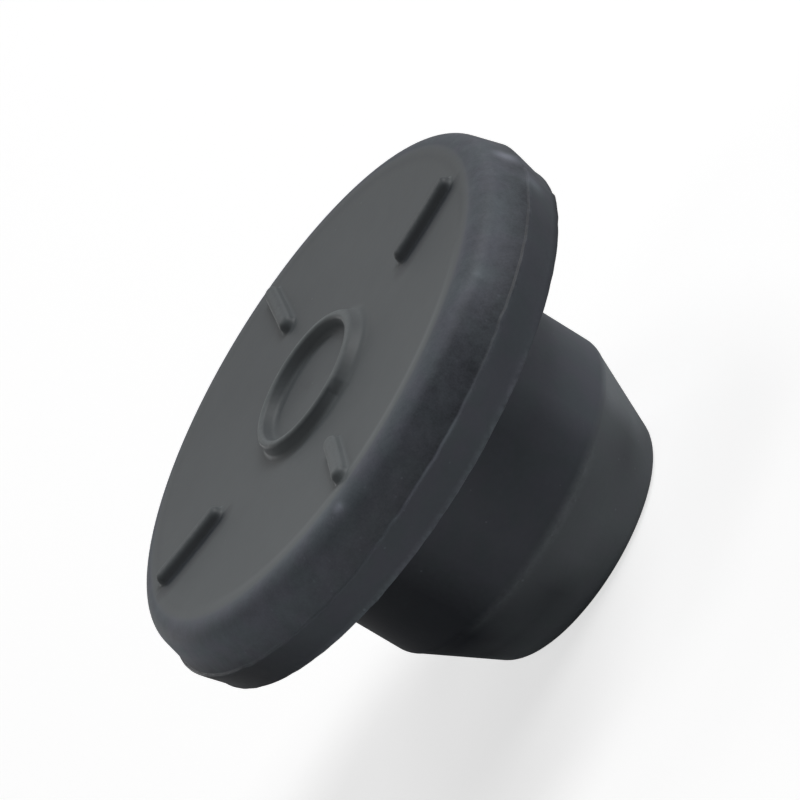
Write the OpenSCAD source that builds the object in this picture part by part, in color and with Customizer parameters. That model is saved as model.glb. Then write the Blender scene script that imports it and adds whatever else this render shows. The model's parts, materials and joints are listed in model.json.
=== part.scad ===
// Rubber closure for a 13 mm injection vial, moulded in one piece.
// The plug presses into the vial's neck, the flange seats on its lip, and a
// needle enters inside the target ring, over the web above the needle recess.
// Millimetres, +Z up. The origin is on the axis, in the plane of the plug's end.

/* [Flange] */
// Diameter over the trimmed rim, the widest line of the closure
flange_d = 12.5; // [11.5:0.1:14]
// Thickness of the flange from its seat to the edge of its top face
flange_h = 1.85; // [1.6:0.01:3]
// Depth from the edge of the top face to the ledge that the trimming die leaves
ledge_depth = 1.05; // [0.9:0.01:1.3]
// Width of that ledge
trim_ledge = 0.05; // [0.02:0.01:0.2]
// Angle by which the moulded side leans in above the ledge
side_draft = 14.5; // [4:0.5:20]
// Radius of the shoulder between the moulded side and the margin
shoulder_r = 0.51; // [0.3:0.01:0.7]
// Width of the margin that falls gently from the top face to the shoulder
margin_w = 0.18; // [0.14:0.01:0.5]
// Angle at which the margin falls
margin_fall = 6.5; // [2:0.5:12]
// Radius that eases the top face into the margin
face_edge_r = 1.2; // [0.4:0.1:1.6]
// How far the middle of the top face has sunk below its edge
face_dish = 0.18; // [0.02:0.01:0.25]
// How far the trimmed wall leans in on its way down to the seat
rim_lean = 0.14; // [0.02:0.01:0.4]
// Radius that breaks the rim's lower edge
rim_edge_r = 0.06; // [0.02:0.01:0.15]

/* [Plug] */
// Diameter of the plug over its straight sealing band
plug_d = 7.42; // [6.8:0.02:8]
// How far the wall draws in from the band to the plug's root, on the radius
plug_waist = 0.04; // [0.01:0.01:0.1]
// Length of the plug from the flange's seat to its end
plug_h = 5; // [4.4:0.1:5.8]
// Length of the sealing wall, from the seat to where the sealing edge rounds off
seal_len = 2.84; // [1.8:0.02:3.2]
// Length of the straight band at the lower end of that wall
seal_band = 1.3; // [0.6:0.1:1.6]
// Radius of the sealing edge between the wall and the cone
seal_edge_r = 0.38; // [0.3:0.02:1.2]
// Angle that the sealing edge turns through before the cone cuts in
seal_edge_turn = 34.5; // [28:0.5:50]
// Half angle of the cone that leads the plug into the neck
cone_angle = 24.2; // [12:0.1:26]
// Radius between the cone and the plug's end face
end_r = 0.4; // [0.2:0.05:0.7]
// Fillet between the flange's seat and the plug
root_r = 0.15; // [0.05:0.01:0.4]

/* [Needle recess] */
// Diameter of the blind recess in the plug's end
recess_d = 3.4; // [2.4:0.1:3.6]
// Thickness of rubber between the recess and the middle of the top face
web_t = 2.3; // [1.6:0.1:3.2]
// Radius inside the recess, between its wall and its roof
recess_roof_r = 0.8; // [0.2:0.1:1.1]
// Radius at the mouth of the recess
recess_mouth_r = 0.15; // [0.05:0.05:0.25]

/* [Target ring] */
// Diameter of the raised ring, along the crest of its bead
ring_d = 3.04; // [2.4:0.02:4]
// Height of the ring's bead above the top face
ring_h = 0.3; // [0.26:0.01:0.45]
// Radius of the rounded crest of the bead
ring_crest_r = 0.11; // [0.08:0.01:0.14]
// Angle by which the bead's flanks lean away from upright
ring_flank_lean = 8; // [2:1:20]
// Fillet at the foot of the bead
ring_foot_r = 0.09; // [0.03:0.01:0.11]

/* [Ribs] */
// Number of raised ribs around the ring
rib_count = 4; // [2:1:8]
// Length of a rib along the radius, over its rounded ends
rib_len = 2.1; // [1.2:0.1:2.4]
// Distance from the axis to the middle of a rib
rib_at_r = 4.18; // [3.6:0.02:4.2]
// Width of a rib where it leaves the face
rib_w = 0.44; // [0.3:0.02:0.6]
// Height of a rib above the face
rib_h = 0.23; // [0.1:0.01:0.26]

/* [Hidden] */

$fn = 96;
arc_step = 10;       // degrees of arc that one edge of an outline covers
face_step = 0.75;    // radial length of an edge along the dished top face
dish_power = 3;      // a power of 2 would dish the face evenly, and more keeps its middle flatter

total_h = plug_h + flange_h;
rim_r = flange_d / 2;
plug_r = plug_d / 2;
recess_r = recess_d / 2;
ring_r = ring_d / 2;

// Moulded side, shoulder and margin, from the ledge up to the edge of the top face
ledge_z = total_h - ledge_depth;
shoulder_z = total_h - margin_w * tan(margin_fall) - shoulder_r * cos(margin_fall);
side_top_z = shoulder_z + shoulder_r * sin(side_draft);
shoulder_at = [
    rim_r - trim_ledge - (side_top_z - ledge_z) * tan(side_draft) - shoulder_r * cos(side_draft),
    shoulder_z
];
edge_r = shoulder_at.x + shoulder_r * sin(margin_fall) - margin_w;

// Dished top face, eased into the margin
dish_slope = atan(dish_power * face_dish / edge_r);
face_edge_x = edge_r + face_edge_r * (tan((dish_slope + margin_fall) / 2) - sin(margin_fall));
face_r = face_edge_x - face_edge_r * sin(dish_slope);
face_edge_z = total_h - (edge_r - face_r) * tan(dish_slope);

// Trimmed rim
rim_angle = atan(rim_lean / (ledge_z - plug_h));
rim_edge_at = [
    rim_r - rim_lean + rim_edge_r * tan(rim_angle) - rim_edge_r / cos(rim_angle),
    plug_h + rim_edge_r
];

// Sealing edge, cone and plug end
seal_edge_at = [plug_r - seal_edge_r, plug_h - seal_len];
cone_top = seal_edge_at + seal_edge_r * [cos(seal_edge_turn), -sin(seal_edge_turn)];
end_at = [
    cone_top.x - (cone_top.y - end_r) * tan(cone_angle) - end_r / cos(cone_angle),
    end_r
];

// Needle recess
recess_top = face_z(0) - web_t;

// Target ring, whose bead has a round crest, leaning flanks and filleted feet
ring_flank = (ring_h - (ring_crest_r + ring_foot_r) * (1 - sin(ring_flank_lean)))
    / cos(ring_flank_lean);
ring_half_w = (ring_crest_r + ring_foot_r) * cos(ring_flank_lean)
    + ring_flank * sin(ring_flank_lean);

// A rib is a round bar with round ends, sunk in the face
rib_bar_r = (rib_w * rib_w / 4 + rib_h * rib_h) / (2 * rib_h);

// Height of the top face at radius r
function face_z(r) = face_edge_z - face_dish * (1 - pow(r / face_r, dish_power));

// Points along the top face from radius r0 to radius r1
function face_run(r0, r1) =
    let (n = ceil((r1 - r0) / face_step))
    [for (i = [0:n]) let (r = r0 + (r1 - r0) * i / n) [r, face_z(r)]];

// Points along an arc about c, from angle a0 to angle a1
function arc(c, r, a0, a1) =
    let (n = max(2, ceil(abs(a1 - a0) / arc_step)))
    [for (i = [0:n]) let (a = a0 + (a1 - a0) * i / n) c + r * [cos(a), sin(a)]];

// Points over the ring's bead, from its inner foot to its outer foot
function ring_bead() =
    let (base = face_z(ring_r))
    concat(
        arc([ring_r - ring_half_w, base + ring_foot_r], ring_foot_r, 270, 360 - ring_flank_lean),
        arc([ring_r, base + ring_h - ring_crest_r], ring_crest_r, 180 - ring_flank_lean, ring_flank_lean),
        arc([ring_r + ring_half_w, base + ring_foot_r], ring_foot_r, 180 + ring_flank_lean, 270)
    );

// Half section of the closure without its ribs
module section() {
    polygon(concat(
        face_run(0, ring_r - ring_half_w),
        ring_bead(),
        face_run(ring_r + ring_half_w, face_r),
        arc([face_edge_x, face_edge_z - face_edge_r * cos(dish_slope)], face_edge_r,
            90 + dish_slope, 90 - margin_fall),
        arc(shoulder_at, shoulder_r, 90 - margin_fall, side_draft),
        [[rim_r - trim_ledge, ledge_z], [rim_r, ledge_z]],
        arc(rim_edge_at, rim_edge_r, -rim_angle, -90),
        arc([plug_r - plug_waist + root_r, plug_h - root_r], root_r, 90, 180),
        [[plug_r, seal_edge_at.y + seal_band]],
        arc(seal_edge_at, seal_edge_r, 0, -seal_edge_turn),
        arc(end_at, end_r, -cone_angle, -90),
        arc([recess_r + recess_mouth_r, recess_mouth_r], recess_mouth_r, 270, 180),
        arc([recess_r - recess_roof_r, recess_top - recess_roof_r], recess_roof_r, 0, 90),
        [[0, recess_top]]
    ));
}

// One rib along Z, as a round bar with ball ends
module rib_bar() {
    end_z = rib_len / 2 - rib_bar_r;
    cylinder(r = rib_bar_r, h = 2 * end_z, center = true);
    for (end = [-end_z, end_z])
        translate([0, 0, end])
            sphere(rib_bar_r);
}

// The ribs lie on the dished face, each along the chord under it
module ribs() {
    inner_z = face_z(rib_at_r - rib_len / 2);
    outer_z = face_z(rib_at_r + rib_len / 2);
    for (i = [0:rib_count - 1])
        rotate(360 * i / rib_count)
            translate([rib_at_r, 0, (inner_z + outer_z) / 2 + rib_h - rib_bar_r])
                rotate([0, 90 - atan((outer_z - inner_z) / rib_len), 0])
                    rib_bar();
}

module stopper() {
    color("#3f4346")
        union() {
            rotate_extrude() section();
            ribs();
        }
}

stopper();
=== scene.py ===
import json
import math

import bpy
import numpy as np
from mathutils import Matrix, Vector


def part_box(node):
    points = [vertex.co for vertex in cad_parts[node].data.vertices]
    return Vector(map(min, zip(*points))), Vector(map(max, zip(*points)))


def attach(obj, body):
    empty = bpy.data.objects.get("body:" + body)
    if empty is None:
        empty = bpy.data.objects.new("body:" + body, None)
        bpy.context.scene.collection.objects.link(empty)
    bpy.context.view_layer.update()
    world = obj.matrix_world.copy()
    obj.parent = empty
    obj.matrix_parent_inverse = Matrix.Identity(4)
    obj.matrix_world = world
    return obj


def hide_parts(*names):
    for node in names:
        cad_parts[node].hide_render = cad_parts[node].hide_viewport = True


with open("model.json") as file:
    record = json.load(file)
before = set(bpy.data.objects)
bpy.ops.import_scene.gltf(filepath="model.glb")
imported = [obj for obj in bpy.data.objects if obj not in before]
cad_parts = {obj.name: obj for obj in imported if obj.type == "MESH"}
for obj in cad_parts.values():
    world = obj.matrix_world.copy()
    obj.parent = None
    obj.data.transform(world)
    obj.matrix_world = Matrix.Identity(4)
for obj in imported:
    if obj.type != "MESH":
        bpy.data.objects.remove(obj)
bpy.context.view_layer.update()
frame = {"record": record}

# A moulded rubber closure for a 13 mm vial, dressed for its portrait: the finely finished skin with
# light and shade painted on it, the rim as the trimming die left it, and the studio round it.
# Lengths are in millimetres until a mesh, lamp or camera is made. The axis is Z, and the plug's
# end is at height 0.

MM = 0.001                      # metres in a millimetre


# ---------------------------------------------------------------- sizes of the closure

_, stopper_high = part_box("stopper")
mounts = {mount["name"]: mount for mount in frame["record"]["mounts"]}

RIM_R = stopper_high.x / MM
SEAT_Z = mounts["seat"]["pos_m"][2] / MM
PLUG_R = mounts["plug"]["dims"]["r_mm"]

# Flange
FLANGE_H = 1.85                 # seat to the face's edge
LEDGE_DEPTH = 1.05              # face's edge to the ledge
LEDGE_W = 0.05                  # ledge that the trimming die leaves
SIDE_DRAFT = 14.5               # degrees that the moulded side leans in above the ledge
SHOULDER_R = 0.51
MARGIN_W = 0.18                 # gently falling margin between the face's edge and the shoulder
MARGIN_FALL = 6.5               # degrees
RIM_LEAN = 0.14                 # how far the trimmed wall leans in by the seat
RIM_EDGE_R = 0.06
FACE_DISH = 0.18
DISH_POWER = 3                  # a power of 2 would dish the face evenly
FACE_EDGE_R = 1.2               # rounding between the face and its margin

# How the trimming strayed round the rim, as (azimuth in degrees, distance): up the side, and inwards
TRIM_RISE = ((0, 0.02), (55, 0.02), (73, -0.01), (82, 0.01), (91, 0.035), (110, 0.05), (128, 0.07),
             (137, 0.07), (146, 0.045), (165, 0.05), (200, 0.03), (270, 0))
TRIM_BITE = ((2, 0), (10, -0.015), (18, 0), (107, 0), (119, 0.025), (168, 0.025), (174.8, 0),
             (176.3, 0.05), (190, 0.06), (200, 0.055), (204, 0))
# The cut is ragged as well
RAGGED_RISE = 0.004             # height of each wave of it
RAGGED_WAVES = (23, 31, 43, 59, 67, 83)         # waves round the rim
RAGGED_SHIFT = 2.4              # turn of them all, in radians
LOWER_RAGGED = 0.5              # share of it on the rim's lower edge

# Plug
WAIST = 0.04                    # how much slimmer the plug is near its root
SEAL_LEN = 2.84                 # seat to the sealing edge
SEAL_BAND = 1.3                 # straight part of the wall above the sealing edge
SEAL_EDGE_R = 0.38
SEAL_EDGE_TURN = 34.5           # degrees that the sealing edge turns before the cone
CONE_ANGLE = 24.2               # degrees
END_R = 0.4
ROOT_R = 0.15

# Needle recess
RECESS_R = 1.7
RECESS_ROOF_R = 0.8
RECESS_MOUTH_R = 0.15
WEB_T = 2.3                     # rubber between the recess and the face

# Ring and ribs on the face. Each is a bead: (height, half of the flat along its crest, radius of
# the crest's edges, lean of its flanks in degrees, radius at its feet)
RING_R = 1.52
RING_BEAD = (0.29, 0, 0.11, 22, 0.14)
RING_SPREAD = ((106, 1), (116, 1.6), (190, 1.6), (215, 1))      # (azimuth, times its outer flank is wider)
RIB_BEAD = (0.22, 0.04, 0.15, 13, 0.08)
RIB_ENDS = ((3.15, 5.33), (3.13, 5.34), (3.03, 5.19), (3.13, 5.23))      # radii that each rib spans
RIB_COUNT = len(RIB_ENDS)

TOP_Z = SEAT_Z + FLANGE_H


# ---------------------------------------------------------------- finish of its skin, and light and shade painted on it

# How pale each part of the skin is, as (azimuth in degrees, amount): the pale bloom, with light and
# shade painted on. 0 is bare rubber and 1 is a full coat. Most of the amounts were written by a fitting
# script that isn't kept, with the lamps below in place. Most of the amounts were fitted with the lamps
# below in place, so part of how they vary round the axis is light and shade painted on, to make up for
# light that those lamps don't give.
BLOOM_AND_PAINTED_LIGHT = {
    "face": ((20, 0.66), (80, 0.68), (120, 0.64), (150, 0.58), (180, 0.58), (250, 0.56), (295, 0.48),
             (340, 0.6)),
    "face_edge": ((20, 0.62), (50, 0.86), (70, 0.96), (105, 1.1), (130, 0.98), (145, 0.72), (160, 0.48),
                  (300, 0.48)),
    "margin": ((20, 0.9), (65, 0.92), (80, 1.06), (92, 0.86), (125, 0.6), (160, 0.68), (180, 0.54),
               (300, 0.4)),
    "shoulder": ((20, 0.82), (35, 1.12), (65, 0.94), (90, 0.8), (120, 0.68), (130, 0.7), (142, 0.52),
                 (300, 0.42)),
    # The side's top is painted light near 20 degrees, past a full coat.
    "side_top": ((20, 1.56), (50, 1.2), (65, 1.02), (80, 0.74), (95, 0.56), (120, 0.28), (130, 0.42),
                 (140, 0.72), (200, 0.5)),
    "side": ((30, 0.3), (50, 0.7), (65, 0.84), (80, 0.54), (95, 0.34), (115, 0.14), (130, 0.14),
             (140, 0.32), (165, 0.18), (200, 0.36)),
    "ledge": ((20, 0), (50, 0.85), (108, 0.8), (122, 0.2), (150, 0), (165, 0.15), (200, 0.35)),
    # The zeros from 15 to about 60 degrees, on the wall, its edge, the plug and the cone, are painted shade
    # on that side.
    "wall": ((15, 0), (40, 0), (52, 0.3), (62, 0.6), (75, 0.75), (112, 0.7), (130, 0.5), (160, 0.35),
             (180, 0.45)),
    "wall_edge": ((15, 0), (45, 0), (65, 0.95), (80, 0.9), (110, 0.8), (125, 0.55), (137, 0.4), (170, 0),
                  (200, 0.3)),
    "plug_root": ((15, 0), (60, 0), (70, 0.2), (82, 0.45), (95, 0.5), (122, 0.45), (131, 0.85), (143, 1),
                  (300, 0.4)),
    "plug_wall": ((15, 0), (62, 0), (70, 0.15), (80, 0.4), (92, 0.5), (122, 0.35), (132, 0.4),
                  (142, 0.65), (300, 0.4)),
    # The cone's 1.65 near 160 degrees is a painted highlight.
    "cone": ((15, 0), (55, 0), (65, 0.4), (80, 0.7), (100, 0.95), (140, 0.9), (150, 1), (160, 1.65),
             (300, 0.5)),
    "cone_middle": ((38, 0.2), (50, 0.5), (65, 0.65), (85, 0.5), (100, 1.1), (115, 1.15), (143, 0.65),
                    (152, 0.65), (165, 1.3), (300, 0.5)),
    "cone_foot": ((38, 1), (50, 1.05), (85, 0.85), (120, 1.1), (135, 0.9), (165, 0.75), (300, 0.5)),
    "end": ((60, 0.8), (160, 1), (300, 0.6)),
    "recess": ((0, 0.3),),
}
# The ring's own bloom, outside and inside its middle line, with light painted on its shaded flanks
RING_OUT_BLOOM_AND_LIGHT = ((0, 0.6), (40, 0.7), (55, 0.55), (80, 0.4), (105, 0.3), (112, 0.5), (300, 0.45))
RING_IN_BLOOM_AND_LIGHT = ((90, 0.45), (180, 0.5), (205, 0.75), (240, 0.75), (262, 0.6), (285, 0.4), (330, 0.45))
RING_BLOOM_AND_LIGHT_RISE = 0.2           # height up the bead where the ring's own bloom and painted light are full
RING_CREST_PAINTED_HIGHLIGHT = 0.35         # painted highlight added along the ring's crest
RING_CREST_FROM = 0.23          # height up the bead where the crest's painted highlight starts
RING_CREST_FADE = 0.05
# Bloom on each rib, by azimuth, with light and shade painted on
RIB_BLOOM_AND_LIGHT = ((0, 0.45), (90, 0.75), (180, 0.3), (270, 0.6))
RIB_BLOOM_AND_LIGHT_RISE = 0.1

# Painted shade lies in a band beside the ribs on the X axis, on their +Y side
RIB_SHADE_AT = 0.24             # from the rib's middle line to the band's
RIB_SHADE_HALF_W = 0.07                # half of its width
RIB_SHADE_FADE = 0.45           # how softly it ends away from the rib
RIB_SHADE_EDGE = 5              # times as sharply on the rib's side
RIB_SHADE_IN = 0.25             # from each end of the rib to where the band starts
RIB_SHADE_SHARE = 0.8           # how dark the painted shade is

# Pale spots painted on, most of them highlights, as (azimuth, radius, height, reach, amount)
PAINTED_PALE_SPOTS = (
    (140, 6, 6.55, 0.12, 0.45),
    (137, 6, 6.58, 0.3, 0.15),
    (180, 6.12, 6.15, 0.25, 1.1),
    (171, 6.2, 5.7, 0.25, 0.7),
    (86.3, 5.82, 6.75, 0.1, 1.1),
)

# How pale the rim's lower edge and the plug's edge are painted, as (azimuth, amount): wear, with painted
# highlight where these edges catch light
RIM_WEAR_AND_HIGHLIGHT = ((55, 0.2), (75, 1), (125, 1), (140, 0.1), (170, 0.1), (200, 0.6))
CREST_WEAR_AND_HIGHLIGHT = 0.5                # of the ring and the ribs: wear and painted highlight on their crests
CREST_WEAR_AND_HIGHLIGHT_FADE = 0.06          # depth below a crest where the wear and painted highlight end


# ---------------------------------------------------------------- outlines

def arc(centre, radius, start, end, steps):
    """Points on an arc, from one angle in degrees to another, as rows of (r, z)."""
    turn = np.radians(np.linspace(start, end, steps + 1))
    return np.column_stack([centre[0] + radius * np.cos(turn), centre[1] + radius * np.sin(turn)])


def run(start, end, steps, part=(0, 1)):
    """Points along a straight line, or between two shares of its length, as rows of (r, z)."""
    start, end = np.array(start), np.array(end)
    return start + np.linspace(*part, steps + 1)[:, None] * (end - start)


def between(start, end, rows):
    """Evenly spaced radii of rows between two others."""
    return np.linspace(start, end, rows + 2)[1:-1]


class Bead:
    """A moulded bead with a rounded or flat crest, leaning flanks and filleted feet."""

    NEAREST = 0.01              # how near a foot's stations may come to the crest's

    def __init__(self, height, flat, crest_r, lean, foot_r):
        self.height = height
        self.flat = flat
        self.crest_r = crest_r
        self.lean = lean
        self.foot_r = foot_r
        self.cos = math.cos(math.radians(lean))
        self.sin = math.sin(math.radians(lean))
        flank = (height - (crest_r + foot_r) * (1 - self.sin)) / self.cos
        self.half_w = flat + (crest_r + foot_r) * self.cos + flank * self.sin

    def rise(self, away):
        """Height over the face at a distance from the bead's middle line."""
        crest_end = self.flat + self.crest_r * self.cos
        foot_end = self.half_w - self.foot_r * self.cos
        crest_end_h = self.height - self.crest_r * (1 - self.sin)
        foot_end_h = self.foot_r * (1 - self.sin)
        past_flat = np.maximum(away - self.flat, 0)
        crest = self.height - self.crest_r + np.sqrt(np.clip(self.crest_r**2 - past_flat**2, 0, None))
        foot = self.foot_r - np.sqrt(np.clip(self.foot_r**2 - (away - self.half_w) ** 2, 0, None))
        share = np.clip((away - crest_end) / (foot_end - crest_end), 0, 1)
        flank = crest_end_h + (foot_end_h - crest_end_h) * share
        tall = np.where(away < crest_end, crest, np.where(away < foot_end, flank, foot))
        return np.where(away < self.half_w, tall, 0)

    def stations(self):
        """Distances from the middle line at which the bead's form is sampled, in rising order."""
        turn = np.radians(np.linspace(0, 90 - self.lean, 9))
        crest = self.flat + self.crest_r * np.sin(turn)
        foot = self.half_w - self.foot_r * np.sin(turn[::-1])
        middle = [0] if self.flat else []
        return np.concatenate([middle, crest, foot[foot > crest[-1] + self.NEAREST]])


ring_bead = Bead(*RING_BEAD)
rib_bead = Bead(*RIB_BEAD)

# Where the flange's arcs lie
fall = math.radians(MARGIN_FALL)
draft = math.radians(SIDE_DRAFT)
ledge_z = TOP_Z - LEDGE_DEPTH
shoulder_z = TOP_Z - MARGIN_W * math.tan(fall) - SHOULDER_R * math.cos(fall)
shoulder_r = (RIM_R - LEDGE_W - (shoulder_z + SHOULDER_R * math.sin(draft) - ledge_z) * math.tan(draft)
              - SHOULDER_R * math.cos(draft))
edge_r = shoulder_r + SHOULDER_R * math.sin(fall) - MARGIN_W
rise_slope = math.atan(DISH_POWER * FACE_DISH / edge_r)
edge_arc_r = edge_r + FACE_EDGE_R * math.tan((rise_slope + fall) / 2) - FACE_EDGE_R * math.sin(fall)
face_r = edge_arc_r - FACE_EDGE_R * math.sin(rise_slope)
face_edge_z = TOP_Z - (edge_r - face_r) * math.tan(rise_slope)
edge_arc_z = face_edge_z - FACE_EDGE_R * math.cos(rise_slope)

# How the rows of the skin are set out
ROW_MARGIN = 0.03               # of close rows past a rib's end
ROW_CLEAR = 0.02                # between the face's last row and the rounding beside it
ROW_GAP = 0.1                   # between the end of a straight run of rows and the arc beside it
EDGE_BAND = 0.2                 # width of the face's outermost band, where its edge's bloom begins
SHOULDER_TURNS = (50, 46, 25, 20)               # degrees where its three stretches of rows end and begin
WALL_TOP = (0.02, 0.15)         # the trimmed wall's first row: in from the rim, and down from the ledge


def face_z(r):
    """Height of the dished top face."""
    return face_edge_z - FACE_DISH * (1 - (r / face_r) ** DISH_POWER)


def face_radii():
    """Radii of the rows on the top face, close together where the ring and the ribs' ends rise."""
    starts, ends = zip(*RIB_ENDS)
    start_low = min(starts) - ROW_MARGIN
    start_high = max(starts) + rib_bead.half_w + ROW_MARGIN
    end_low = min(ends) - rib_bead.half_w - ROW_MARGIN
    end_high = face_r - ROW_CLEAR
    across_ring = ring_bead.stations()
    return np.concatenate([
        between(0, RING_R - ring_bead.half_w, 4),
        RING_R - across_ring[:0:-1],
        RING_R + across_ring,
        between(RING_R + ring_bead.half_w, start_low, 18),
        np.linspace(start_low, start_high, 19),
        between(start_high, end_low, 8),
        np.linspace(end_low, end_high, 17),
    ])


# Columns of a tagged row. The last is the first of BLOOM_AND_PAINTED_LIGHT's coats, and the others follow
# it
AT_R, AT_Z, RISE, BITE, WEAR_AND_HIGHLIGHT, FIRST_COAT = range(6)


def tagged(points, coats, rise=(0, 0), bite=(0, 0), worn=(0, 0)):
    """Rows of (r, z, rise, bite, worn, *shares of coats), with a tag's values spread over the rows.

    rise and bite are shares of how the trimming strayed, worn is how pale an edge is
    painted for wear and for highlight, and coats are the two coats of BLOOM_AND_PAINTED_LIGHT between which
    the rows go over.
    """
    along = np.linspace(0, 1, len(points))
    names = list(BLOOM_AND_PAINTED_LIGHT)
    shares = np.zeros((len(points), len(names)))
    shares[:, names.index(coats[0])] += along[::-1]
    shares[:, names.index(coats[1])] += along
    tags = [np.interp(along, np.linspace(0, 1, len(values)), values) for values in (rise, bite, worn)]
    return np.column_stack([points, *tags, shares])


def flange_section():
    """Rows from the middle of the face to the seat, each tagged as above."""
    radii = face_radii()
    face = np.column_stack([radii, face_z(radii)])
    inner = radii < face_r - EDGE_BAND
    face_edge_at = (edge_arc_r, edge_arc_z)
    shoulder_at = (shoulder_r, shoulder_z)
    margin_turn = 90 - MARGIN_FALL
    upper_end, middle_start, middle_end, lower_start = SHOULDER_TURNS
    side_top = np.array(shoulder_at) + SHOULDER_R * np.array([math.cos(draft), math.sin(draft)])
    side_foot = np.array([RIM_R - LEDGE_W, ledge_z])
    lean = math.atan(RIM_LEAN / (ledge_z - SEAT_Z))
    rim_edge_at = (RIM_R - RIM_LEAN + RIM_EDGE_R * math.tan(lean) - RIM_EDGE_R / math.cos(lean),
                   SEAT_Z + RIM_EDGE_R)
    wall_top = (RIM_R - WALL_TOP[0], ledge_z - WALL_TOP[1])
    wall_foot = (rim_edge_at[0] + RIM_EDGE_R, rim_edge_at[1] + ROW_GAP)
    ledge_bite = np.sin(np.radians(np.linspace(0, 90, 6)))
    return [
        tagged(face[inner], ("face", "face")),
        tagged(face[~inner], ("face", "face_edge")),
        tagged(arc(face_edge_at, FACE_EDGE_R, 90 + math.degrees(rise_slope), margin_turn, 8),
               ("face_edge", "margin")),
        tagged(arc(shoulder_at, SHOULDER_R, margin_turn, upper_end, 8), ("margin", "shoulder")),
        tagged(arc(shoulder_at, SHOULDER_R, middle_start, middle_end, 5), ("shoulder", "side_top")),
        tagged(arc(shoulder_at, SHOULDER_R, lower_start, SIDE_DRAFT, 1), ("side_top", "side_top")),
        tagged(run(side_top, side_foot, 5, part=(0.1, 0.95)), ("side_top", "side"), rise=(0.1, 1)),
        tagged(arc(side_foot - (0, LEDGE_W), LEDGE_W, 90, 0, 5), ("ledge", "wall"), rise=(1, 1),
               bite=ledge_bite),
        tagged(run(wall_top, wall_foot, 5), ("wall", "wall"), rise=(0.8, 0), bite=(1, 1)),
        tagged(arc(rim_edge_at, RIM_EDGE_R, -math.degrees(lean), -90, 5), ("wall_edge", "wall_edge"),
               bite=(1, 0.7), worn=(1, 0.6)),
        tagged(run((rim_edge_at[0] - 3 * ROW_GAP, SEAT_Z), (PLUG_R + ROOT_R + 2 * ROW_GAP, SEAT_Z), 4),
               ("wall", "plug_root"), bite=(0.3, 0)),
    ]


def plug_section():
    """Rows from the plug's root to the middle of the recess's roof, each tagged as above."""
    root_at = (PLUG_R - WAIST + ROOT_R, SEAT_Z - ROOT_R)
    root_foot = (PLUG_R - WAIST, root_at[1] - ROW_GAP)
    seal_at = np.array([PLUG_R - SEAL_EDGE_R, SEAT_Z - SEAL_LEN])
    band_top = seal_at[1] + SEAL_BAND
    turn = math.radians(SEAL_EDGE_TURN)
    cone = math.radians(CONE_ANGLE)
    cone_top = seal_at + SEAL_EDGE_R * np.array([math.cos(turn), -math.sin(turn)])
    end_at = (cone_top[0] - (cone_top[1] - END_R) * math.tan(cone) - END_R / math.cos(cone), END_R)
    cone_foot = end_at + END_R * np.array([math.cos(cone), -math.sin(cone)])
    mouth_at = (RECESS_R + RECESS_MOUTH_R, RECESS_MOUTH_R)
    roof_z = face_z(0) - WEB_T
    roof_at = (RECESS_R - RECESS_ROOF_R, roof_z - RECESS_ROOF_R)
    return [
        tagged(arc(root_at, ROOT_R, 90, 180, 5), ("plug_root", "plug_root")),
        tagged(run(root_foot, (PLUG_R, band_top), 4), ("plug_root", "plug_wall")),
        tagged(run((PLUG_R, band_top - 2 * ROW_GAP), (PLUG_R, seal_at[1] + ROW_GAP), 4),
               ("plug_wall", "plug_wall")),
        tagged(arc(seal_at, SEAL_EDGE_R, 0, -SEAL_EDGE_TURN, 8), ("plug_wall", "cone"), worn=(0, 0.75)),
        tagged(run(cone_top, cone_foot, 3, part=(0.1, 0.5)), ("cone", "cone_middle")),
        tagged(run(cone_top, cone_foot, 3, part=(0.6, 0.9)), ("cone_middle", "cone_foot")),
        tagged(arc(end_at, END_R, -CONE_ANGLE, -90, 7), ("cone_foot", "end")),
        tagged(arc(mouth_at, RECESS_MOUTH_R, 270, 180, 5), ("end", "recess")),
        tagged(run((RECESS_R, 6 * ROW_GAP), (RECESS_R, roof_at[1] - 3 * ROW_GAP), 3), ("recess", "recess")),
        tagged(arc(roof_at, RECESS_ROOF_R, 0, 90, 8), ("recess", "recess")),
        tagged(run((roof_at[0] - 2 * ROW_GAP, roof_z), (2 * ROW_GAP, roof_z), 3), ("recess", "recess")),
    ]


def round_axis(table, turns):
    """Value from a table of (azimuth, value) at each angle round the axis."""
    azimuths, values = zip(*table)
    return np.interp(np.degrees(turns), azimuths, values, period=360)


def ragged(turns):
    """Small uneven rise of an edge that was cut through rubber."""
    return sum(RAGGED_RISE * np.sin(waves * (turns + RAGGED_SHIFT)) for waves in RAGGED_WAVES)


# How the columns of the skin are set out
BESIDE_RIB = (0.05, 0.12)       # from a rib's foot to the two columns beside it
FROM_RIB_TO_RIB = 60            # even columns between one rib's and the next
PARALLEL_FROM = 0.8             # radius inside which the ribs' columns draw together


def rib_offsets():
    """Distances from a rib's middle line at which columns of the skin run along it."""
    side = np.concatenate([rib_bead.stations(), rib_bead.half_w + np.array(BESIDE_RIB)])
    return np.concatenate([-side[:0:-1], side])


def column_turns(radii):
    """Angle of every column at each radius: parallel to the ribs beside them, even in between."""
    reach = np.clip(radii, PARALLEL_FROM, face_r)[:, None]
    band = np.arcsin(rib_offsets() / reach)
    edge = band[:, -1:]
    step = np.arange(1, FROM_RIB_TO_RIB + 1) / (FROM_RIB_TO_RIB + 1)
    gap = edge + step * (2 * math.pi / RIB_COUNT - 2 * edge)
    sector = np.hstack([band, gap])
    return np.hstack([sector + 2 * math.pi * i / RIB_COUNT for i in range(RIB_COUNT)])


def outside(value, low, high):
    """How far a value lies outside a span."""
    return np.maximum(np.maximum(low - value, value - high), 0)


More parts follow.
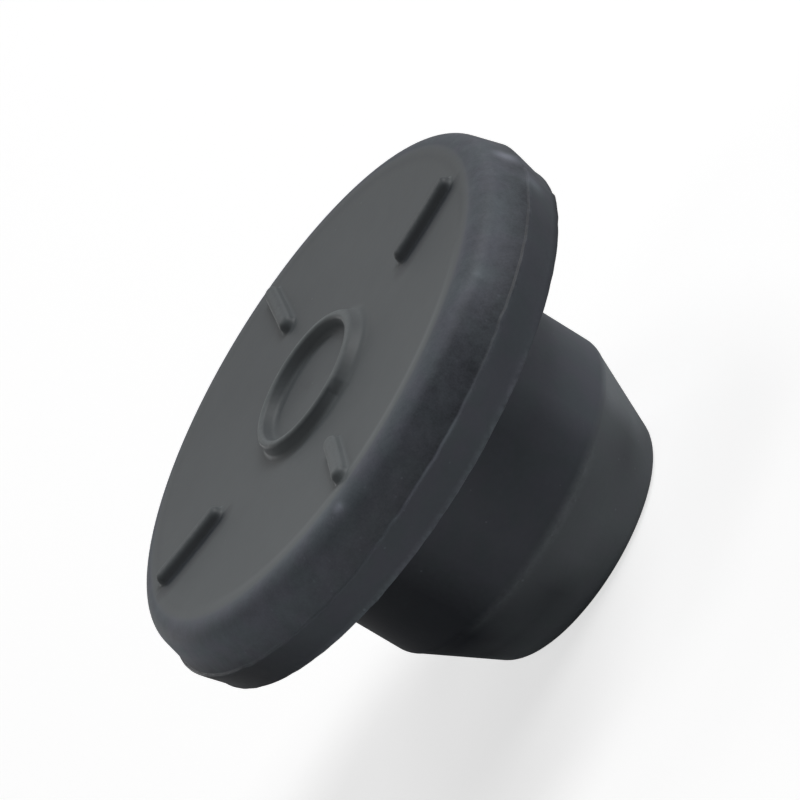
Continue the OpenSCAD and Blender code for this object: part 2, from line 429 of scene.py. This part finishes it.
def ring_rise(x, y):
    """Height that the ring adds over the face at a point."""
    away = np.hypot(x, y) - RING_R
    spread = round_axis(RING_SPREAD, np.arctan2(y, x))
    return ring_bead.rise(np.where(away > 0, away / spread, -away))


def rib_rise(x, y):
    """Height that the ribs add over the face at a point."""
    rise = np.zeros_like(x)
    for i, (start, end) in enumerate(RIB_ENDS):
        turn = 2 * math.pi * i / RIB_COUNT
        along = x * math.cos(turn) + y * math.sin(turn)
        across = y * math.cos(turn) - x * math.sin(turn)
        past_end = outside(along, start + rib_bead.half_w, end - rib_bead.half_w)
        rise = np.maximum(rise, rib_bead.rise(np.hypot(past_end, across)))
    return rise


def rib_painted_shade(x, y):
    """How much painted shade lies in the band beside each of the ribs on the X axis."""
    starts, ends = (np.where(x > 0, RIB_ENDS[0][i], RIB_ENDS[2][i]) for i in range(2))
    past_end = outside(abs(x), starts + RIB_SHADE_IN, ends - RIB_SHADE_IN)
    aside = y - RIB_SHADE_AT
    away = np.hypot(past_end, np.where(aside > 0, aside, RIB_SHADE_EDGE * -aside))
    return RIB_SHADE_SHARE * np.clip(1 - (away - RIB_SHADE_HALF_W) / RIB_SHADE_FADE, 0, 1)


def skin_bloom_and_painted_light(outline, turns, x, y, z, on_top):
    """How pale each point of the skin is: its bloom, and light and shade painted on it."""
    bloom = sum(outline[:, [FIRST_COAT + i]] * round_axis(table, turns)
                for i, table in enumerate(BLOOM_AND_PAINTED_LIGHT.values()))
    rise = np.where(on_top, ring_rise(x, y), 0)
    outer = np.hypot(x, y) > RING_R
    ring = np.where(outer, round_axis(RING_OUT_BLOOM_AND_LIGHT, turns), round_axis(RING_IN_BLOOM_AND_LIGHT, turns))
    ring = ring + RING_CREST_PAINTED_HIGHLIGHT * np.clip((rise - RING_CREST_FROM) / RING_CREST_FADE, 0, 1)
    bloom = bloom + np.clip(rise / RING_BLOOM_AND_LIGHT_RISE, 0, 1) ** 2 * (ring - bloom)
    on_rib = np.where(on_top, np.clip(rib_rise(x, y) / RIB_BLOOM_AND_LIGHT_RISE, 0, 1), 0)
    bloom = bloom + on_rib * (round_axis(RIB_BLOOM_AND_LIGHT, turns) - bloom)
    # Painted shade in a band beside the ribs on the X axis
    bloom = bloom * (1 - np.where(on_top, rib_painted_shade(x, y), 0))
    # Pale spots painted on, most of them highlights
    for azimuth, radius, height, reach, amount in PAINTED_PALE_SPOTS:
        turn = math.radians(azimuth)
        across = np.hypot(x - radius * math.cos(turn), y - radius * math.sin(turn))
        away = np.hypot(across, z - height)
        bloom = bloom + amount * np.exp(-((away / reach) ** 2))
    return bloom


def skin_wear_and_highlight(outline, turns, x, y, on_top):
    """How pale the skin is painted for wear and highlight: on the rim's and the plug's edges, and on the
    crests of ring and ribs.
    """
    worn = outline[:, [WEAR_AND_HIGHLIGHT]] * round_axis(RIM_WEAR_AND_HIGHLIGHT, turns)
    below = np.maximum(ring_rise(x, y) - ring_bead.height, rib_rise(x, y) - rib_bead.height)
    return worn + CREST_WEAR_AND_HIGHLIGHT * np.where(on_top, np.clip(1 + below / CREST_WEAR_AND_HIGHLIGHT_FADE, 0, 1), 0)


def skin_faces(rows, columns):
    """Faces of a closed skin: a fan at each pole, and squares between the rows."""
    near = list(range(columns))
    after = near[1:] + near[:1]
    last = (rows - 1) * columns
    top_pole = rows * columns
    faces = [(top_pole, a, b) for a, b in zip(near, after)]
    for here in range(0, last, columns):
        below = here + columns
        faces += [(here + a, below + a, below + b, here + b) for a, b in zip(near, after)]
    return faces + [(top_pole + 1, last + b, last + a) for a, b in zip(near, after)]


def closure_skin():
    """The whole closure as one closed mesh of rows round the axis and columns along the section."""
    outline = np.concatenate(flange_section() + plug_section())
    turns = column_turns(outline[:, AT_R])
    lower_edge = (outline[:, [WEAR_AND_HIGHLIGHT]] > 0.5) & (outline[:, [AT_Z]] > SEAT_Z)
    r = outline[:, [AT_R]] - outline[:, [BITE]] * round_axis(TRIM_BITE, turns)
    z = outline[:, [AT_Z]] + outline[:, [RISE]] * (round_axis(TRIM_RISE, turns) + ragged(turns))
    z = z - np.where(lower_edge, LOWER_RAGGED * ragged(turns + 1), 0)
    x = r * np.cos(turns)
    y = r * np.sin(turns)
    on_top = (z > SEAT_Z + FLANGE_H / 2) & (r < face_r + EDGE_BAND)
    z = z + np.where(on_top, np.maximum(ring_rise(x, y), rib_rise(x, y)), 0)

    points = np.stack([x, y, z], axis=-1).reshape(-1, 3)
    poles = np.array([[0, 0, face_z(0)], [0, 0, face_z(0) - WEB_T]])
    mesh = bpy.data.meshes.new("closure")
    mesh.from_pydata((np.concatenate([points, poles]) * MM).tolist(), [], skin_faces(*turns.shape))
    mesh.shade_smooth()
    # The first attribute holds the bloom with light and shade painted on, the second the wear with
    # highlight painted on
    for name, values in (
        ("bloom", skin_bloom_and_painted_light(outline, turns, x, y, z, on_top)),
        ("worn", skin_wear_and_highlight(outline, turns, x, y, on_top)),
    ):
        at_poles = [values[0].mean(), values[-1].mean()]
        layer = mesh.attributes.new(name, "FLOAT", "POINT")
        layer.data.foreach_set("value", np.concatenate([values.ravel(), at_poles]).astype(np.float32))
    mesh.validate()
    piece = bpy.data.objects.new("closure", mesh)
    bpy.context.scene.collection.objects.link(piece)
    return piece


# ---------------------------------------------------------------- materials

class Wire:
    """A socket inside a material. Sums on wires add Math nodes, and node() adds any other node."""

    def __init__(self, tree, socket=None):
        self.tree = tree
        self.socket = socket

    def node(self, kind, settings=None, sockets=None, out=0):
        """One output of a new node: its settings are made first, then its sockets set or linked."""
        made = self.tree.nodes.new(kind)
        for name, value in (settings or {}).items():
            setattr(made, name, value)
        for name, value in (sockets or {}).items():
            if isinstance(value, Wire):
                self.tree.links.new(value.socket, made.inputs[name])
            else:
                made.inputs[name].default_value = value
        return Wire(self.tree, made.outputs[out] if made.outputs else None)

    def sum(self, operation, *values):
        """A Math node on wires and numbers."""
        return self.node("ShaderNodeMath", {"operation": operation}, dict(enumerate(values)))

    def __add__(self, other):
        return self.sum("ADD", self, other)

    __radd__ = __add__

    def __sub__(self, other):
        return self.sum("SUBTRACT", self, other)

    def __rsub__(self, other):
        return self.sum("SUBTRACT", other, self)

    def __mul__(self, other):
        return self.sum("MULTIPLY", self, other)

    __rmul__ = __mul__


def new_material(name):
    """An empty material, and a wire to start its nodes from."""
    material = bpy.data.materials.new(name)
    material.use_nodes = True
    material.node_tree.nodes.clear()
    return material, Wire(material.node_tree)


def fade(value, start, end):
    """Smooth step from 0 where a wire's value is at the start to 1 where it is at the end."""
    return value.node("ShaderNodeMapRange", {"interpolation_type": "SMOOTHSTEP"},
                      {"Value": value, "From Min": start, "From Max": end})


def noise(place, scale, detail):
    """Soft noise round 0, with so many waves in a millimetre."""
    return place.node("ShaderNodeTexNoise", {}, {"Vector": place, "Scale": scale, "Detail": detail}) - 0.5


# A dot fades from one share of its radius to another, and its chance of being there is softened
DOT_OUTER = 1.4
DOT_INNER = 0.7
CHANCE_FADE = 0.02


def dots(place, each, radius, share):
    """Small soft dots, 1 inside and 0 outside: one in each cell of a size, in a share of the cells."""
    cells = place.node("ShaderNodeTexVoronoi", {}, {"Vector": place, "Scale": 1 / each}).socket.node
    away = Wire(place.tree, cells.outputs["Distance"])
    chance = Wire(place.tree, cells.outputs["Color"])
    chance = chance.node("ShaderNodeSeparateColor", {}, {"Color": chance})
    inside = fade(away, DOT_OUTER * radius / each, DOT_INNER * radius / each)
    return inside * fade(chance, share + CHANCE_FADE, share - CHANCE_FADE)


def mix(share, none, full, past_ends=False):
    """A colour between two, which may also go past them."""
    return share.node("ShaderNodeMix", {"data_type": "RGBA", "clamp_factor": not past_ends},
                      {"Factor": share, "A": none, "B": full}, out="Result")


# Butyl rubber, and the pale colours of its bloom and of the light and shade painted on it
BARE_RUBBER = (0.012, 0.015, 0.021, 1)
BLUE_PALE = (0.129, 0.15, 0.171, 1)
VIOLET_PALE = (0.137, 0.147, 0.177, 1)
GREEN_PALE = (0.138, 0.153, 0.158, 1)      # on the face, and thinner on the cone
CONE_GREEN = 0.6
MATT = 0.53                     # roughness
SHEEN = 0.35                    # where 0.5 is a clean smooth plastic
GRAIN_DEPTH = 0.01

# Where a finish starts and is full, up, down, in or out on the closure
FACE_UP = (TOP_Z - 0.55, TOP_Z - 0.35)
FACE_IN = (RIM_R - 0.65, RIM_R - 0.85)
SHOULDER_UP = (TOP_Z - 0.65, TOP_Z - 0.45)
SHOULDER_OUT = (RIM_R - 0.75, RIM_R - 0.65)
SIDE_UP = (ledge_z - 0.05, ledge_z + 0.02)
SIDE_OUT = (RIM_R - 0.8, RIM_R - 0.55)
CONE_DOWN = (SEAT_Z - 2.7, SEAT_Z - 3.1)


def rubber():
    """Dark grey butyl rubber: matt, softly mottled, with a little dust, and with light and shade painted
    on.
    """
    material, start = new_material("rubber")
    place = start.node("ShaderNodeTexCoord", out="Object")
    place = start.node("ShaderNodeVectorMath", {"operation": "SCALE"}, {0: place, "Scale": 1 / MM})
    across = start.node("ShaderNodeVectorMath", {"operation": "MULTIPLY"}, {0: place, 1: (1, 1, 0)})
    radius = start.node("ShaderNodeVectorMath", {"operation": "LENGTH"}, {0: across}, out="Value")
    height = start.node("ShaderNodeSeparateXYZ", {}, {0: place}, out="Z")
    on_face = fade(height, *FACE_UP) * fade(radius, *FACE_IN)
    on_shoulder = fade(height, *SHOULDER_UP) * fade(radius, *SHOULDER_OUT)
    on_side = fade(height, *SIDE_UP) * fade(radius, *SIDE_OUT)
    on_cone = fade(height, *CONE_DOWN)

    mottle = noise(place, 1.1, detail=3)
    patches = noise(place, 2.6, detail=2)
    tint = noise(place, 1.7, detail=1)
    grain = noise(place, 9, detail=4)
    fine = noise(place, 24, detail=2)
    specks = dots(place, each=0.42, radius=0.022, share=0.3)
    dust = dots(place, each=0.27, radius=0.03, share=0.35)

    # The skin's bloom comes with light and shade painted on, and its wear with highlight painted on
    bloom = start.node("ShaderNodeAttribute", {"attribute_name": "bloom"}, out="Fac")
    worn = start.node("ShaderNodeAttribute", {"attribute_name": "worn"}, out="Fac")
    bloom = bloom + 0.12 * mottle + (0.1 + 0.2 * on_side) * grain
    bloom = bloom + (0.3 * fine + 0.45 * patches) * on_side
    bloom = bloom + 0.3 * specks + (0.2 * on_side + 0.8 * worn) * dust
    bloom = start.sum("MAXIMUM", bloom + worn * (grain + 0.2), 0)

    blue = mix(fade(tint, -0.15, 0.15), BLUE_PALE, VIOLET_PALE)
    pale_colour = mix(on_face + CONE_GREEN * on_cone, blue, GREEN_PALE)
    colour = mix(bloom, BARE_RUBBER, pale_colour, past_ends=True)
    rough = MATT + 0.08 * grain + 0.1 * on_shoulder
    bump = start.node("ShaderNodeBump", {}, {
        "Height": grain,
        "Strength": 0.25,
        "Distance": GRAIN_DEPTH * MM,
    })
    skin = start.node("ShaderNodeBsdfPrincipled", {}, {
        "Base Color": colour,
        "Roughness": rough,
        "Normal": bump,
        "Specular IOR Level": SHEEN,
    })
    start.node("ShaderNodeOutputMaterial", {}, {"Surface": skin})
    return material


# ---------------------------------------------------------------- studio

FLOOR_SIZE = 4000
FLOOR_SHADE = 0.65
FLOOR_GLOW = 0.68               # what the floor adds of its own, for the camera alone
ROOM_LIGHT = 0.01               # what the room lights the closure with
ROOM_SHEEN = 0.5                # how white the room is where the closure's gloss shows it
WHITE = (1, 1, 1, 1)

# Soft boxes: (name, azimuth, elevation, size, level). Level 1 lights a surface that faces it as
# its colour is written. The directions and levels are rounded from what another fitting script gave.
LAMP_AT = 300                   # from the closure's middle
LAMPS = (
    ("key", 288, 40, 110, 0.334),
    ("key_low", 275, 27, 110, 0.272),
    ("top", 5, 75, 110, 0.063),
    ("back", 12, 42, 110, 0.068),
    ("left", 98, 44, 110, 0.039),
    ("front_left", 150, 6, 62, 0.044),
    ("front_right", 180, 6, 62, 0.05),
    ("back_low", 38, 6, 62, 0.057),
    ("back_right", 335, 8, 62, 0.021),
)


def seen_by(start, kind):
    """1 for rays of a kind, from a Light Path node, and 0 for others."""
    path = start.node("ShaderNodeLightPath").socket.node
    return Wire(start.tree, path.outputs[kind])


def floor():
    """A plain pale floor that keeps the closure's shadow and shows white elsewhere."""
    half = FLOOR_SIZE / 2 * MM
    corners = [(-half, -half, 0), (half, -half, 0), (half, half, 0), (-half, half, 0)]
    mesh = bpy.data.meshes.new("floor")
    mesh.from_pydata(corners, [], [(0, 1, 2, 3)])
    piece = bpy.data.objects.new("floor", mesh)
    bpy.context.scene.collection.objects.link(piece)
    material, start = new_material("floor")
    pale = start.node("ShaderNodeBsdfDiffuse", {}, {"Color": (FLOOR_SHADE,) * 3 + (1,)})
    strength = seen_by(start, "Is Camera Ray") * FLOOR_GLOW
    glow = start.node("ShaderNodeEmission", {}, {"Color": WHITE, "Strength": strength})
    both = start.node("ShaderNodeAddShader", {}, {0: pale, 1: glow})
    start.node("ShaderNodeOutputMaterial", {}, {"Surface": both})
    mesh.materials.append(material)


def room():
    """A room that lights little, shows white behind the closure and shows pale in its gloss."""
    world = bpy.data.worlds.new("room")
    world.use_nodes = True
    world.node_tree.nodes.clear()
    start = Wire(world.node_tree)
    strength = (ROOM_LIGHT + seen_by(start, "Is Camera Ray") * (1 - ROOM_LIGHT)
                + seen_by(start, "Is Glossy Ray") * (ROOM_SHEEN - ROOM_LIGHT))
    back = start.node("ShaderNodeBackground", {}, {"Color": WHITE, "Strength": strength})
    start.node("ShaderNodeOutputWorld", {}, {"Surface": back})
    bpy.context.scene.world = world


def lamp(name, azimuth, elevation, size, level):
    """A square soft box aimed at the closure."""
    light = bpy.data.lights.new(name, "AREA")
    light.shape = "SQUARE"
    light.size = size * MM
    light.energy = level * (math.pi * LAMP_AT * MM) ** 2
    turn = math.radians(azimuth)
    rise = math.radians(elevation)
    back = Vector((math.sin(turn) * math.cos(rise), -math.cos(turn) * math.cos(rise), math.sin(rise)))
    piece = bpy.data.objects.new(name, light)
    piece.location = (Vector((0, 0, TOP_Z / 2)) + back * LAMP_AT) * MM
    piece.rotation_euler = (-back).to_track_quat("-Z", "Y").to_euler()
    bpy.context.scene.collection.objects.link(piece)


# Camera: where the closure lies in its frame, and how it is turned there
FRAME_PX = 800
SENSOR_MM = 36
CLIP = (10, 1000)
FACE_MIDDLE_PX = (305.8, 380.6)      # middle of the top face, from the frame's upper left corner
RIM_SCALE_PX = 308.0            # pixels that the rim's radius takes at the face's distance
DISTANCE = 18                   # of the face, in rim radii
AXIS_IN_VIEW = (-0.8083, -0.4902, -0.3261)      # the closure's Z: right, down and away
RIB_TURN = -13.5                # degrees from the face's level line to the first rib


def camera():
    """A long lens, turned so that the closure leans as if it lay on its rim and its plug's edge."""
    axis = Vector(AXIS_IN_VIEW).normalized()
    level = Vector((axis.y, -axis.x, 0)).normalized()
    steep = axis.cross(level)
    turn = math.radians(RIB_TURN)
    rib_x = level * math.cos(turn) + steep * math.sin(turn)
    rib_y = axis.cross(rib_x)
    right, down = ((at - FRAME_PX / 2) / RIM_SCALE_PX for at in FACE_MIDDLE_PX)
    middle = Vector((right, down, DISTANCE)) * RIM_R
    axes = Matrix((rib_x, rib_y, axis))
    data = bpy.data.cameras.new("camera")
    data.lens = RIM_SCALE_PX * DISTANCE / FRAME_PX * SENSOR_MM
    data.sensor_width = SENSOR_MM
    data.clip_start = CLIP[0] * MM
    data.clip_end = CLIP[1] * MM
    piece = bpy.data.objects.new("camera", data)
    bpy.context.scene.collection.objects.link(piece)
    turned = (axes @ Matrix(((1, 0, 0), (0, -1, 0), (0, 0, -1)))).to_4x4()
    place = (Vector((0, 0, TOP_Z)) - axes @ middle) * MM
    piece.matrix_world = Matrix.Translation(place) @ turned
    bpy.context.scene.camera = piece


# ---------------------------------------------------------------- the scene

bpy.context.scene.view_settings.view_transform = "Standard"

closure = closure_skin()
closure.data.materials.append(rubber())
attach(closure, "root")
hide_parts("stopper")

floor()
room()
for settings in LAMPS:
    lamp(*settings)
camera()
